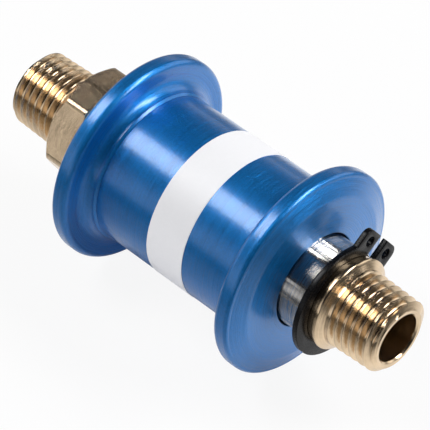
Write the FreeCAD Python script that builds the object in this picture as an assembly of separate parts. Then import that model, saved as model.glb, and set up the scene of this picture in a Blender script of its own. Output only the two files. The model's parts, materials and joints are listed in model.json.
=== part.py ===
"""Hand slide valve for compressed air, with a taper pipe thread at each end.

The stem lies along X, with its inlet at -X and its outlet at +X, and Z is up. The origin is
half way along the stem, on its axis. The sleeve is modelled pushed against its stop at the
inlet, which is the shut position. Everything is in millimetres.
"""

import FreeCAD
import Part

import math
import os

# Taper pipe thread of both connections, size R 1/4. Its grooves are plain rings, not a helix
THREAD_GAUGE_DIAMETER = 13.157
THREAD_GAUGE_LENGTH = 6.0
THREAD_TAPER = 1.0 / 16.0
THREAD_PITCH = 1.44
THREAD_DEPTH = 0.856
THREAD_CREST_WIDTH = 0.24
THREAD_NOSE_LENGTH = 0.7
MOUTH_FACE_WIDTH = 0.5
PORT_BORE_R = 4.2
PORT_COUNTERSINK = 0.3

# Inlet fitting, from its free end to the stem tube
INLET_THREAD_LENGTH = 10.3
INLET_RELIEF_LENGTH = 1.2
INLET_RELIEF_DEPTH = 0.35
HEX_ACROSS_FLATS = 18.0
HEX_WIDTH = 6.1
HEX_CORNER_CUT = 0.26
HEX_OUTER_CHAMFER_ANGLE = 45.0
HEX_INNER_CHAMFER_ANGLE = 30.0
SHOULDER_STEP = 1.2
SHOULDER_LENGTH = 2.5
SHOULDER_CHAMFER = 0.4

# Stem tube
TUBE_R = 8.0
TUBE_LENGTH = 46.1
TUBE_EDGE_CHAMFER = 0.2
RADIAL_PORT_R = 1.0
RADIAL_PORT_COUNT = 6
PORT_MARGIN = 0.45

# Outlet fitting, from the stem tube to its free end
RING_GROOVE_DEPTH = 0.4
RING_GROOVE_LENGTH = 2.1
COLLAR_LENGTH = 0.6
COLLAR_SLOPE_LENGTH = 0.8
OUTLET_THREAD_LENGTH = 9.3

# Retaining ring in its groove
RING_THICKNESS = 1.0
RING_WIDTH_AT_BACK = 2.5
RING_WIDTH_AT_LUGS = 1.6
RING_SLOT_WIDTH = 2.8
LUG_WIDTH = 4.1
LUG_HEIGHT = 3.7
LUG_ROUND = 1.5
LUG_FOOT_ROUND = 0.8
LUG_HOLE_R = 0.9
LUG_HOLE_SETBACK = 1.9
LUG_HOLE_HEIGHT = 1.95
RING_SLOT_ANGLE = 56.0

# Spigots and plug inside the stem tube
SPIGOT_WALL = 0.65
SPIGOT_REACH = 3.0
PLUG_CORE_SETBACK = 2.4
PLUG_NECK_WALL = 0.7
PLUG_PORT_COUNT = 4
FIXED_SEAL_R = 0.48
FIXED_SEAL_GAP = 0.02
FIXED_SEAL_SIDE_GAP = 0.15
FIXED_SEAL_SETBACK = 2.4

# Sliding sleeve
BARREL_LENGTH = 27.8
BARREL_WALL = 1.75
CHAMBER_DEPTH = 1.5
SEAL_WALL_WIDTH = 0.8
SLIDING_SEAL_R = 0.75
SLIDING_SEAL_SIDE_GAP = 0.35
NOSE_WALL = 1.6
NOSE_LENGTH = 2.5
GUIDE_BAND_THICKNESS = 0.9
GUIDE_BAND_WIDTH = 2.9
GUIDE_BAND_SLIT = 1.6
GUIDE_BAND_SETBACK = 3.4

# Finger flange, from its end face to the barrel
FLANGE_REACH = 5.0
FACE_DISH = 0.5
FACE_REACH = 1.5
BEVEL_LENGTH = 1.05
RIM_FRONT_ROUND = 0.75
RIM_LAND = 1.2
RIM_BACK_ROUND = 1.0
HUB_SWEEP_R = 2.2
HUB_STEP = 0.4
HOLE_ROUND = 0.15

# Label round the barrel
LABEL_SETBACK = 11.1
LABEL_WIDTH = 7.55
LABEL_THICKNESS = 0.06
LABEL_GAP = 0.01

# Clearances
RUNNING_GAP = 0.05
SEAT_GAP = 0.05
RING_GAP = 0.02
VENT_GAP = 0.35
STOP_GAP = 0.2

# Radii that follow from the sizes above, outwards from the axis
FIXED_SEAL_GROOVE_R = PORT_BORE_R + SPIGOT_WALL
TUBE_BORE_R = FIXED_SEAL_GROOVE_R + 2 * FIXED_SEAL_R + 2 * FIXED_SEAL_GAP
SPIGOT_R = TUBE_BORE_R - SEAT_GAP
THREAD_END_R = (THREAD_GAUGE_DIAMETER - THREAD_GAUGE_LENGTH * THREAD_TAPER) / 2
THREAD_NOSE_R = PORT_BORE_R + PORT_COUNTERSINK + MOUTH_FACE_WIDTH
SHOULDER_R = TUBE_R + SHOULDER_STEP
RING_GROOVE_R = TUBE_R - RING_GROOVE_DEPTH
SLIDING_SEAL_POCKET_R = TUBE_R + RUNNING_GAP + 2 * SLIDING_SEAL_R + SEAT_GAP
GUIDE_BAND_R = TUBE_R + RUNNING_GAP
SLEEVE_HOLE_R = TUBE_R + VENT_GAP
CHAMBER_R = TUBE_R + CHAMBER_DEPTH
NOSE_R = SLIDING_SEAL_POCKET_R + NOSE_WALL
NOSE_SEAT_R = NOSE_R + SEAT_GAP
BARREL_R = NOSE_SEAT_R + BARREL_WALL
HUB_R = BARREL_R + HUB_STEP
FLANGE_R = BARREL_R + FLANGE_REACH

# Stations along X
INLET_FITTING_LENGTH = INLET_THREAD_LENGTH + INLET_RELIEF_LENGTH + HEX_WIDTH + SHOULDER_LENGTH
OUTLET_FITTING_LENGTH = (RING_GROOVE_LENGTH + COLLAR_LENGTH + COLLAR_SLOPE_LENGTH
                         + OUTLET_THREAD_LENGTH)
OVERALL_LENGTH = INLET_FITTING_LENGTH + TUBE_LENGTH + OUTLET_FITTING_LENGTH
INLET_END_X = -OVERALL_LENGTH / 2
OUTLET_END_X = OVERALL_LENGTH / 2
TUBE_INLET_X = INLET_END_X + INLET_FITTING_LENGTH
TUBE_OUTLET_X = TUBE_INLET_X + TUBE_LENGTH

FLANGE_LENGTH = (FACE_DISH + BEVEL_LENGTH + RIM_FRONT_ROUND + RIM_LAND
                 + RIM_BACK_ROUND + HUB_SWEEP_R)
SLEEVE_LENGTH = BARREL_LENGTH + 2 * FLANGE_LENGTH
SLEEVE_INLET_X = TUBE_INLET_X + STOP_GAP
SLEEVE_OUTLET_X = SLEEVE_INLET_X + SLEEVE_LENGTH
BARREL_INLET_X = SLEEVE_INLET_X + FLANGE_LENGTH
BARREL_OUTLET_X = BARREL_INLET_X + BARREL_LENGTH
SLEEVE_TRAVEL = TUBE_LENGTH - SLEEVE_LENGTH - 2 * STOP_GAP

SEAL_POCKET_WIDTH = 2 * SLIDING_SEAL_R + 2 * SLIDING_SEAL_SIDE_GAP
SEAL_INSET = NOSE_LENGTH + SEAL_POCKET_WIDTH / 2
INLET_SEAL_X = BARREL_INLET_X + SEAL_INSET
OUTLET_SEAL_X = BARREL_OUTLET_X - SEAL_INSET
INLET_PORTS_X = INLET_SEAL_X + SLEEVE_TRAVEL + SLIDING_SEAL_R + PORT_MARGIN + RADIAL_PORT_R
OUTLET_PORTS_X = OUTLET_SEAL_X + SLEEVE_TRAVEL / 2

INLET_SPIGOT_END_X = INLET_PORTS_X - SPIGOT_REACH
OUTLET_SPIGOT_END_X = OUTLET_PORTS_X + SPIGOT_REACH
PLUG_CORE_INLET_X = INLET_PORTS_X + PLUG_CORE_SETBACK
PLUG_CORE_OUTLET_X = OUTLET_PORTS_X - PLUG_CORE_SETBACK

AXIS = FreeCAD.Vector(1, 0, 0)


class HalfSection:
    """A closed outline of straight lines and arcs in x and radius, turned about the X axis."""

    def __init__(self, x, r):
        self.start = self.at(x, r)
        self.here = self.start
        self.edges = []

    @staticmethod
    def at(x, r):
        return FreeCAD.Vector(x, 0, r)

    def line(self, x, r):
        end = self.at(x, r)
        self.edges.append(Part.LineSegment(self.here, end).toShape())
        self.here = end
        return self

    def arc(self, centre_x, centre_r, x, r):
        """The short arc about a centre, from here to the point given."""
        centre = self.at(centre_x, centre_r)
        end = self.at(x, r)
        radius = (self.here - centre).Length
        bisector = (self.here - centre) + (end - centre)
        middle = centre + bisector.normalize() * radius
        self.edges.append(Part.Arc(self.here, middle, end).toShape())
        self.here = end
        return self

    def solid(self):
        if (self.here - self.start).Length > 1e-6:
            self.edges.append(Part.LineSegment(self.here, self.start).toShape())
        face = Part.Face(Part.Wire(self.edges))
        return face.revolve(FreeCAD.Vector(0, 0, 0), AXIS, 360)


def ring(x_from, x_to, r_inner, r_outer):
    """A plain ring between two stations."""
    section = HalfSection(x_from, r_inner)
    section.line(x_to, r_inner).line(x_to, r_outer).line(x_from, r_outer)
    return section.solid()


def rod(x_from, x_to, radius):
    """A plain round bar along X."""
    return Part.makeCylinder(radius, x_to - x_from, FreeCAD.Vector(x_from, 0, 0), AXIS)


def torus(x, r_inner, section_r):
    """A sealing ring whose inside touches r_inner."""
    return Part.makeTorus(r_inner + section_r, section_r, FreeCAD.Vector(x, 0, 0), AXIS)


def turned(shape, degrees):
    """A copy turned about the X axis."""
    copy = shape.copy()
    copy.rotate(FreeCAD.Vector(0, 0, 0), AXIS, degrees)
    return copy


def radial_drills(x, radius, reach, count):
    """Round cutters that point outwards from the axis, evenly spaced."""
    first = Part.makeCylinder(radius, reach, FreeCAD.Vector(x, 0, 0), FreeCAD.Vector(0, 0, 1))
    return [turned(first, 360.0 * number / count) for number in range(count)]


def thread_r(distance):
    """Outer radius of the taper thread at a distance from its free end."""
    return THREAD_END_R + distance * THREAD_TAPER / 2


def thread_outline(section, end_x, inward, length):
    """Draws the thread from its free end to its large end, with a groove at each pitch."""
    groove_width = THREAD_PITCH - THREAD_CREST_WIDTH
    grooves = int((length - THREAD_NOSE_LENGTH + THREAD_CREST_WIDTH) / THREAD_PITCH)

    def cone_point(distance, depth):
        section.line(end_x + inward * distance, thread_r(distance) - depth)

    section.line(end_x, THREAD_NOSE_R)
    cone_point(THREAD_NOSE_LENGTH, 0)
    for number in range(grooves):
        start = THREAD_NOSE_LENGTH + number * THREAD_PITCH
        if number > 0:
            cone_point(start, 0)
        cone_point(start + groove_width / 2, THREAD_DEPTH)
        cone_point(start + groove_width, 0)
    cone_point(length, 0)
    return section


def port_bore(end_x, inward, depth_x):
    """The passage through a fitting, with a countersunk mouth."""
    mouth = HalfSection(end_x, 0)
    mouth.line(end_x, PORT_BORE_R + PORT_COUNTERSINK)
    mouth.line(end_x + inward * PORT_COUNTERSINK, PORT_BORE_R)
    mouth.line(depth_x, PORT_BORE_R).line(depth_x, 0)
    return mouth.solid()


def seal_groove(x):
    """The groove of a fixed seal, cut from outside."""
    half = FIXED_SEAL_R + FIXED_SEAL_SIDE_GAP
    return ring(x - half, x + half, FIXED_SEAL_GROOVE_R, TUBE_R)


def hexagon():
    """The spanner hexagon, with turned corners and a bevel at each end."""
    left = INLET_END_X + INLET_THREAD_LENGTH + INLET_RELIEF_LENGTH
    right = left + HEX_WIDTH
    flat_r = HEX_ACROSS_FLATS / 2
    full_corner_r = flat_r / math.cos(math.radians(30))
    corner_r = full_corner_r - HEX_CORNER_CUT
    points = []
    for number in range(7):
        angle = math.radians(60 * number)
        points.append(FreeCAD.Vector(left, full_corner_r * math.cos(angle),
                                     full_corner_r * math.sin(angle)))
    prism = Part.Face(Part.makePolygon(points)).extrude(FreeCAD.Vector(HEX_WIDTH, 0, 0))
    outer_bevel = (corner_r - flat_r) * math.tan(math.radians(HEX_OUTER_CHAMFER_ANGLE))
    inner_bevel = (corner_r - flat_r) * math.tan(math.radians(HEX_INNER_CHAMFER_ANGLE))
    turned_blank = HalfSection(left, 0)
    turned_blank.line(left, flat_r).line(left + outer_bevel, corner_r)
    turned_blank.line(right - inner_bevel, corner_r).line(right, flat_r).line(right, 0)
    return prism.common(turned_blank.solid())


def inlet_fitting():
    """Brass fitting with the inlet thread, the hexagon and the sleeve's stop."""
    hex_x = INLET_END_X + INLET_THREAD_LENGTH + INLET_RELIEF_LENGTH
    shoulder_x = hex_x + HEX_WIDTH
    relief_r = thread_r(INLET_THREAD_LENGTH) - INLET_RELIEF_DEPTH
    section = HalfSection(INLET_END_X, 0)
    thread_outline(section, INLET_END_X, 1, INLET_THREAD_LENGTH)
    section.line(hex_x - INLET_RELIEF_LENGTH + INLET_RELIEF_DEPTH, relief_r)
    section.line(shoulder_x, relief_r).line(shoulder_x, SHOULDER_R)
    section.line(TUBE_INLET_X - SHOULDER_CHAMFER, SHOULDER_R)
    section.line(TUBE_INLET_X, SHOULDER_R - SHOULDER_CHAMFER)
    section.line(TUBE_INLET_X, SPIGOT_R).line(INLET_SPIGOT_END_X, SPIGOT_R)
    section.line(INLET_SPIGOT_END_X, 0)
    body = section.solid().fuse(hexagon())
    body = body.cut(seal_groove(TUBE_INLET_X + FIXED_SEAL_SETBACK))
    return body.cut(port_bore(INLET_END_X, 1, INLET_SPIGOT_END_X)).removeSplitter()


def outlet_fitting():
    """Brass fitting with the retaining ring's groove, a collar and the outlet thread."""
    collar_x = TUBE_OUTLET_X + RING_GROOVE_LENGTH
    slope_x = collar_x + COLLAR_LENGTH
    section = HalfSection(OUTLET_END_X, 0)
    thread_outline(section, OUTLET_END_X, -1, OUTLET_THREAD_LENGTH)
    section.line(slope_x, TUBE_R)
    section.line(collar_x, TUBE_R).line(collar_x, RING_GROOVE_R)
    section.line(TUBE_OUTLET_X, RING_GROOVE_R).line(TUBE_OUTLET_X, SPIGOT_R)
    section.line(OUTLET_SPIGOT_END_X, SPIGOT_R).line(OUTLET_SPIGOT_END_X, 0)
    body = section.solid().cut(seal_groove(TUBE_OUTLET_X - FIXED_SEAL_SETBACK))
    return body.cut(port_bore(OUTLET_END_X, -1, OUTLET_SPIGOT_END_X)).removeSplitter()


def stem_tube():
    """Steel tube that the sleeve runs on, drilled with a row of ports on each side of the plug."""
    section = HalfSection(TUBE_INLET_X, TUBE_BORE_R)
    section.line(TUBE_INLET_X, TUBE_R)
    section.line(TUBE_OUTLET_X - TUBE_EDGE_CHAMFER, TUBE_R)
    section.line(TUBE_OUTLET_X, TUBE_R - TUBE_EDGE_CHAMFER)
    section.line(TUBE_OUTLET_X, TUBE_BORE_R)
    body = section.solid()
    for x in (INLET_PORTS_X, OUTLET_PORTS_X):
        body = body.cut(radial_drills(x, RADIAL_PORT_R, 2 * TUBE_R, RADIAL_PORT_COUNT))
    return body


def plug_seal_x():
    """Stations of the two seals on the plug."""
    return (PLUG_CORE_INLET_X + FIXED_SEAL_SETBACK, PLUG_CORE_OUTLET_X - FIXED_SEAL_SETBACK)


def centre_plug():
    """Plug that parts inlet from outlet. Its two drilled necks butt against the spigots."""
    neck_r = PORT_BORE_R + PLUG_NECK_WALL
    section = HalfSection(INLET_SPIGOT_END_X, 0)
    section.line(INLET_SPIGOT_END_X, neck_r).line(PLUG_CORE_INLET_X, neck_r)
    section.line(PLUG_CORE_INLET_X, SPIGOT_R).line(PLUG_CORE_OUTLET_X, SPIGOT_R)
    section.line(PLUG_CORE_OUTLET_X, neck_r).line(OUTLET_SPIGOT_END_X, neck_r)
    section.line(OUTLET_SPIGOT_END_X, 0)
    body = section.solid()
    body = body.cut(rod(INLET_SPIGOT_END_X, PLUG_CORE_INLET_X, PORT_BORE_R))
    body = body.cut(rod(PLUG_CORE_OUTLET_X, OUTLET_SPIGOT_END_X, PORT_BORE_R))
    for x in plug_seal_x():
        body = body.cut(seal_groove(x))
    for x in (INLET_PORTS_X, OUTLET_PORTS_X):
        body = body.cut(radial_drills(x, RADIAL_PORT_R, 2 * TUBE_R, PLUG_PORT_COUNT))
    return body


def fixed_seal(x):
    """Seal between a spigot or the plug and the stem tube's bore."""
    return torus(x, FIXED_SEAL_GROOVE_R + FIXED_SEAL_GAP, FIXED_SEAL_R)


def far_lug_edges(shape, low_z, high_z):
    """The straight edges along X at the sides of the lugs away from the slot."""
    far_y = RING_SLOT_WIDTH / 2 + LUG_WIDTH
    found = []
    for edge in shape.Edges:
        box = edge.BoundBox
        upright = box.YLength < 1e-4 and box.ZLength < 1e-4
        if upright and abs(abs(box.YMin) - far_y) < 1e-3 and low_z < box.ZMin < high_z:
            found.append(edge)
    return found


def retaining_ring():
    """Spring steel ring in its groove: widest at its back, with two drilled lugs at its slot."""
    bore_r = RING_GROOVE_R + RING_GAP
    back_reach = bore_r + RING_WIDTH_AT_BACK
    front_reach = bore_r + RING_WIDTH_AT_LUGS
    outer_r = (back_reach + front_reach) / 2
    drop = (back_reach - front_reach) / 2
    lug_top = bore_r + LUG_HEIGHT

    def disc(radius, y, z):
        return Part.makeCylinder(radius, RING_THICKNESS, FreeCAD.Vector(0, y, z), AXIS)

    def block(width, height):
        return Part.makeBox(RING_THICKNESS, width, height, FreeCAD.Vector(0, -width / 2, 0))

    lugs = block(RING_SLOT_WIDTH + 2 * LUG_WIDTH, lug_top)
    body = disc(outer_r, 0, -drop).fuse(lugs)
    body = body.makeFillet(LUG_FOOT_ROUND, far_lug_edges(body, 0, lug_top - 1e-3))
    body = body.makeFillet(LUG_ROUND, far_lug_edges(body, lug_top - 1e-3, 2 * lug_top))
    body = body.cut(disc(bore_r, 0, 0)).cut(block(RING_SLOT_WIDTH, 2 * back_reach))
    for side in (-1, 1):
        hole_y = side * (RING_SLOT_WIDTH / 2 + LUG_HOLE_SETBACK)
        body = body.cut(disc(LUG_HOLE_R, hole_y, bore_r + LUG_HOLE_HEIGHT))
    body.translate(FreeCAD.Vector(TUBE_OUTLET_X, 0, 0))
    return turned(body, -RING_SLOT_ANGLE)


def sleeve_barrel():
    """Aluminium barrel, open to both flange noses, with a seal pocket and wall at each end."""
    pocket = NOSE_LENGTH + SEAL_POCKET_WIDTH
    wall = pocket + SEAL_WALL_WIDTH
    section = HalfSection(BARREL_INLET_X, BARREL_R)
    section.line(BARREL_INLET_X, NOSE_SEAT_R)
    section.line(BARREL_INLET_X + NOSE_LENGTH, NOSE_SEAT_R)
    section.line(BARREL_INLET_X + NOSE_LENGTH, SLIDING_SEAL_POCKET_R)
    section.line(BARREL_INLET_X + pocket, SLIDING_SEAL_POCKET_R)
    section.line(BARREL_INLET_X + pocket, SLEEVE_HOLE_R)
    section.line(BARREL_INLET_X + wall, SLEEVE_HOLE_R)
    section.line(BARREL_INLET_X + wall, CHAMBER_R)
    section.line(BARREL_OUTLET_X - wall, CHAMBER_R)
    section.line(BARREL_OUTLET_X - wall, SLEEVE_HOLE_R)
    section.line(BARREL_OUTLET_X - pocket, SLEEVE_HOLE_R)
    section.line(BARREL_OUTLET_X - pocket, SLIDING_SEAL_POCKET_R)
    section.line(BARREL_OUTLET_X - NOSE_LENGTH, SLIDING_SEAL_POCKET_R)
    section.line(BARREL_OUTLET_X - NOSE_LENGTH, NOSE_SEAT_R)
    section.line(BARREL_OUTLET_X, NOSE_SEAT_R)
    section.line(BARREL_OUTLET_X, BARREL_R)
    return section.solid()


def finger_flange(end_x, inward):
    """Flange with a rounded rim and a swept hub, its nose screwed into the barrel."""
    def x(depth):
        return end_x + inward * depth

    bevel = FACE_DISH + BEVEL_LENGTH
    land = bevel + RIM_FRONT_ROUND
    land_end = land + RIM_LAND
    flank = land_end + RIM_BACK_ROUND
    nose_end = FLANGE_LENGTH + NOSE_LENGTH
    band_start = GUIDE_BAND_SETBACK
    band_end = band_start + GUIDE_BAND_WIDTH + 2 * SEAT_GAP
    band_seat_r = GUIDE_BAND_R + GUIDE_BAND_THICKNESS + SEAT_GAP

    section = HalfSection(x(0), SLEEVE_HOLE_R + HOLE_ROUND)
    section.line(x(FACE_DISH), BARREL_R + FACE_REACH)
    section.line(x(bevel), FLANGE_R - RIM_FRONT_ROUND)
    section.arc(x(land), FLANGE_R - RIM_FRONT_ROUND, x(land), FLANGE_R)
    section.line(x(land_end), FLANGE_R)
    section.arc(x(land_end), FLANGE_R - RIM_BACK_ROUND, x(flank), FLANGE_R - RIM_BACK_ROUND)
    section.line(x(flank), HUB_R + HUB_SWEEP_R)
    section.arc(x(FLANGE_LENGTH), HUB_R + HUB_SWEEP_R, x(FLANGE_LENGTH), HUB_R)
    section.line(x(FLANGE_LENGTH), NOSE_R)
    section.line(x(nose_end), NOSE_R).line(x(nose_end), SLEEVE_HOLE_R)
    section.line(x(band_end), SLEEVE_HOLE_R).line(x(band_end), band_seat_r)
    section.line(x(band_start), band_seat_r).line(x(band_start), SLEEVE_HOLE_R)
    section.line(x(HOLE_ROUND), SLEEVE_HOLE_R)
    return section.solid()


def guide_band(end_x, inward):
    """Split band in the flange's bore, which keeps the sleeve centred on the stem tube."""
    near = end_x + inward * (GUIDE_BAND_SETBACK + SEAT_GAP)
    far = near + inward * GUIDE_BAND_WIDTH
    low = min(near, far)
    band = ring(low, low + GUIDE_BAND_WIDTH, GUIDE_BAND_R, GUIDE_BAND_R + GUIDE_BAND_THICKNESS)
    slit = Part.makeBox(GUIDE_BAND_WIDTH, GUIDE_BAND_SLIT, 2 * TUBE_R,
                        FreeCAD.Vector(low, -GUIDE_BAND_SLIT / 2, 0))
    return band.cut(slit)


def sliding_seal(x):
    """Seal in the barrel's pocket, which slides on the stem tube."""
    return torus(x, TUBE_R + RUNNING_GAP, SLIDING_SEAL_R)


def label_band():
    """Printed label wrapped once round the barrel."""
    start = BARREL_INLET_X + LABEL_SETBACK
    inner_r = BARREL_R + LABEL_GAP
    return ring(start, start + LABEL_WIDTH, inner_r, inner_r + LABEL_THICKNESS)


def build():
    plug_inlet_seal_x, plug_outlet_seal_x = plug_seal_x()
    return {
        "inlet_fitting": inlet_fitting(),
        "outlet_fitting": outlet_fitting(),
        "stem_tube": stem_tube(),
        "centre_plug": centre_plug(),
        "plug_seal_inlet": fixed_seal(plug_inlet_seal_x),
        "plug_seal_outlet": fixed_seal(plug_outlet_seal_x),
        "spigot_seal_inlet": fixed_seal(TUBE_INLET_X + FIXED_SEAL_SETBACK),
        "spigot_seal_outlet": fixed_seal(TUBE_OUTLET_X - FIXED_SEAL_SETBACK),
        "retaining_ring": retaining_ring(),
        "sleeve_barrel": sleeve_barrel(),
        "inlet_flange": finger_flange(SLEEVE_INLET_X, 1),
        "outlet_flange": finger_flange(SLEEVE_OUTLET_X, -1),
        "guide_band_inlet": guide_band(SLEEVE_INLET_X, 1),
        "guide_band_outlet": guide_band(SLEEVE_OUTLET_X, -1),
        "sleeve_seal_inlet": sliding_seal(INLET_SEAL_X),
        "sleeve_seal_outlet": sliding_seal(OUTLET_SEAL_X),
        "label_band": label_band(),
    }


def main():
    os.makedirs("parts", exist_ok=True)
    for node, shape in build().items():
        shape.exportStep("parts/" + node + ".step")
        box = shape.BoundBox
        print("%-20s solids %d volume %9.2f  x %.2f..%.2f  z %.2f..%.2f" % (
            node, len(shape.Solids), shape.Volume, box.XMin, box.XMax, box.ZMin, box.ZMax))
    print("travel %.2f  inlet ports x %.2f  outlet ports x %.2f" % (
        SLEEVE_TRAVEL, INLET_PORTS_X, OUTLET_PORTS_X))


main()
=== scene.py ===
"""Looks of a hand slide valve: its turned pieces, pipe threads, finishes, stage and camera.

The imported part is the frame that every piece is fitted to. Pieces are drawn in millimetres and
scaled to metres when they are done. The valve lies along X, and its turned shapes are drawn as
outlines of a station along X and a radius.
"""

import json
import math

import bmesh
import bpy
from bpy.props import FloatProperty, FloatVectorProperty, IntProperty, PointerProperty
from mathutils import Matrix, Vector

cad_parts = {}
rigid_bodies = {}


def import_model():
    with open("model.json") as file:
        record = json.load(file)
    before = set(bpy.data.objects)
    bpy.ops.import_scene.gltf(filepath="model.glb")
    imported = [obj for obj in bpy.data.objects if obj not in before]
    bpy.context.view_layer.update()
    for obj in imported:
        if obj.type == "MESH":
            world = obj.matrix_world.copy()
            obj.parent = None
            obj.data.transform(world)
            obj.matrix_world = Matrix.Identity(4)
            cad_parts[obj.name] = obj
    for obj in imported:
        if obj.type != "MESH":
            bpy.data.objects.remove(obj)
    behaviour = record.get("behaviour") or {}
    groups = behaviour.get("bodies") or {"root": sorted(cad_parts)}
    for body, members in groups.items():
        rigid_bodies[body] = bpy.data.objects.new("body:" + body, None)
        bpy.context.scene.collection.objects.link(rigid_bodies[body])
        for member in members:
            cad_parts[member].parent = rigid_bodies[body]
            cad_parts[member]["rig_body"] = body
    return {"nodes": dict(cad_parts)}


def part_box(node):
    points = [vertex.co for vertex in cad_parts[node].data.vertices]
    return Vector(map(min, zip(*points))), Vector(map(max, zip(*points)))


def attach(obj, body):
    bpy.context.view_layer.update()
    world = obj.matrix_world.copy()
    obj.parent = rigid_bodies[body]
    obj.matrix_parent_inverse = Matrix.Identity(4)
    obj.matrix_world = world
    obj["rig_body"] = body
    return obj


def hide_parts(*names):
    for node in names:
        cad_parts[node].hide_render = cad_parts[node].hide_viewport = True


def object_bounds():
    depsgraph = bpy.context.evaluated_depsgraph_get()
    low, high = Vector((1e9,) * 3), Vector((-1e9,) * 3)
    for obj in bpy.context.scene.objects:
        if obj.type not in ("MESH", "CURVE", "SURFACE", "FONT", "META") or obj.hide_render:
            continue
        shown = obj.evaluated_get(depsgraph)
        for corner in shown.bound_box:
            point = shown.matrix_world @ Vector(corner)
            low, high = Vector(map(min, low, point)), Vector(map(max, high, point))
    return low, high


bl_info = {
    "name": "Hand Slide Valve",
    "version": (1, 0, 0),
    "blender": (4, 5, 0),
    "location": "View3D > Sidebar > Slide Valve",
    "description": "Turned, threaded and finished pieces of an inline hand slide valve",
    "category": "Mesh",
}

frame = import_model()
CAD_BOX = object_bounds()

MM = 0.001

# Lengths below are in millimetres.
LEAD = 0.04                 # thin strip beside a long run, which keeps its shading straight
LONG_RUN = 6 * LEAD
WELD = 0.001                # points nearer than this become one
THREAD_WELD = 0.004         # the same for the turns of a thread
SHRUNK = 1e-5               # shorter edges are dissolved
AT_STATION = 1e-4           # how far a point of an open ring may lie from its station
THREAD_RUN_OUT = 0.4        # length over which a thread sinks into its neck
SEAL_GROOVE = (1.77, 3.03)  # start and end of a spigot's seal groove, from the tube's end
COLLAR = (28.8, 29.4, 30.2)  # stations of the collar's face, its edge and the foot of its slope
SHOULDER_CHAMFER = 0.4
SEAL_SEAT_RADIUS = 9.6
SEAT_GAP = 0.05
HUB_CHAMFER = 0.35
BAND_GROOVE = (3.4, 6.4)    # start and end of a guide band's groove, from the flange's end face
BAND_GROOVE_RADIUS = 9.0
LABEL_GAP = 0.01

SEGMENTS_PER_MM = 8         # steps of a rounded corner for its size
FRONT_TURN = 34.5 / 360     # share of a turn from the top of the valve to its front crests
HEXAGON_FACETS = 192
OUTER_CHAMFER_SLOPE = 1.0   # run of the hexagon's chamfer along the valve for its rise
INNER_CHAMFER_SLOPE = 0.577
MILLED_RADII = (7.6, 8.8)   # brass is smoothly turned up to the first, milled from the second

SHARP_ANGLE = math.radians(35)    # edges that shade as sharp
ROUNDED_ANGLE = math.radians(40)  # edges of a node's own shape that get a rounding
FLAT_ANGLE = math.radians(0.5)    # faces of a node's own shape that count as one
END_FACE = 0.9999                 # share of a normal along the valve, from which a face is flat

# Places of the sockets that a mix of two colours uses on its node.
MIX_SHARE, MIX_FIRST, MIX_SECOND, MIX_RESULT = 0, 6, 7, 2


def span(node):
    """Lowest and highest corner of a node, in millimetres."""
    low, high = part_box(node)
    return low / MM, high / MM


INLET_LOW, INLET_HIGH = span("inlet_fitting")
OUTLET_LOW, OUTLET_HIGH = span("outlet_fitting")
TUBE_LOW, TUBE_HIGH = span("stem_tube")
BARREL_LOW, BARREL_HIGH = span("sleeve_barrel")
INLET_FLANGE_LOW, INLET_FLANGE_HIGH = span("inlet_flange")
OUTLET_FLANGE_HIGH = span("outlet_flange")[1]
LABEL_LOW, LABEL_HIGH = span("label_band")


class ThreadSizes(bpy.types.PropertyGroup):
    pitch: FloatProperty(
        name="Pitch", description="Distance from one crest to the next",
        default=1.44 * MM, min=0.8 * MM, max=2.5 * MM, precision=5, unit="LENGTH")
    end_radius: FloatProperty(
        name="End radius", description="Crest radius at the free end",
        default=6.391 * MM, precision=5, unit="LENGTH")
    flank_angle: FloatProperty(
        name="Flank angle", description="Angle between a flank and the radial direction",
        default=math.radians(27.5), subtype="ANGLE")
    crest_round: FloatProperty(
        name="Crest rounding", description="Radius of the rounded crests",
        default=0.11 * MM, precision=5, unit="LENGTH")
    root_round: FloatProperty(
        name="Root rounding", description="Radius of the rounded grooves",
        default=0.33 * MM, precision=5, unit="LENGTH")
    taper: FloatProperty(
        name="Taper", description="Growth of the diameter per length", default=1 / 16)
    nose_length: FloatProperty(
        name="Nose length", description="Length of the chamfered free end",
        default=0.7 * MM, precision=5, unit="LENGTH")
    nose_radius: FloatProperty(
        name="Nose radius", description="Outer radius of the free end's face",
        default=5.0 * MM, precision=5, unit="LENGTH")
    inlet_relief: FloatProperty(
        name="Inlet relief", description="Radius of the neck behind the inlet's thread",
        default=6.363 * MM, precision=5, unit="LENGTH")
    outlet_relief: FloatProperty(
        name="Outlet relief", description="Radius of the neck behind the outlet's thread",
        default=6.68 * MM, precision=5, unit="LENGTH")
    inlet_length: FloatProperty(
        name="Inlet thread", description="Length of the inlet's thread",
        default=10.3 * MM, precision=5, unit="LENGTH")
    outlet_length: FloatProperty(
        name="Outlet thread", description="Length of the outlet's thread",
        default=8.5 * MM, precision=5, unit="LENGTH")
    inlet_crest: FloatProperty(
        name="Inlet crest", description="Station of a crest on the front of the inlet's thread",
        default=-33.93 * MM, precision=5, unit="LENGTH")
    outlet_crest: FloatProperty(
        name="Outlet crest", description="Station of a crest on the front of the outlet's thread",
        default=34.91 * MM, precision=5, unit="LENGTH")
    steps: IntProperty(
        name="Steps", description="Steps of one turn of the thread", default=120, min=48, max=240)


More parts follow.
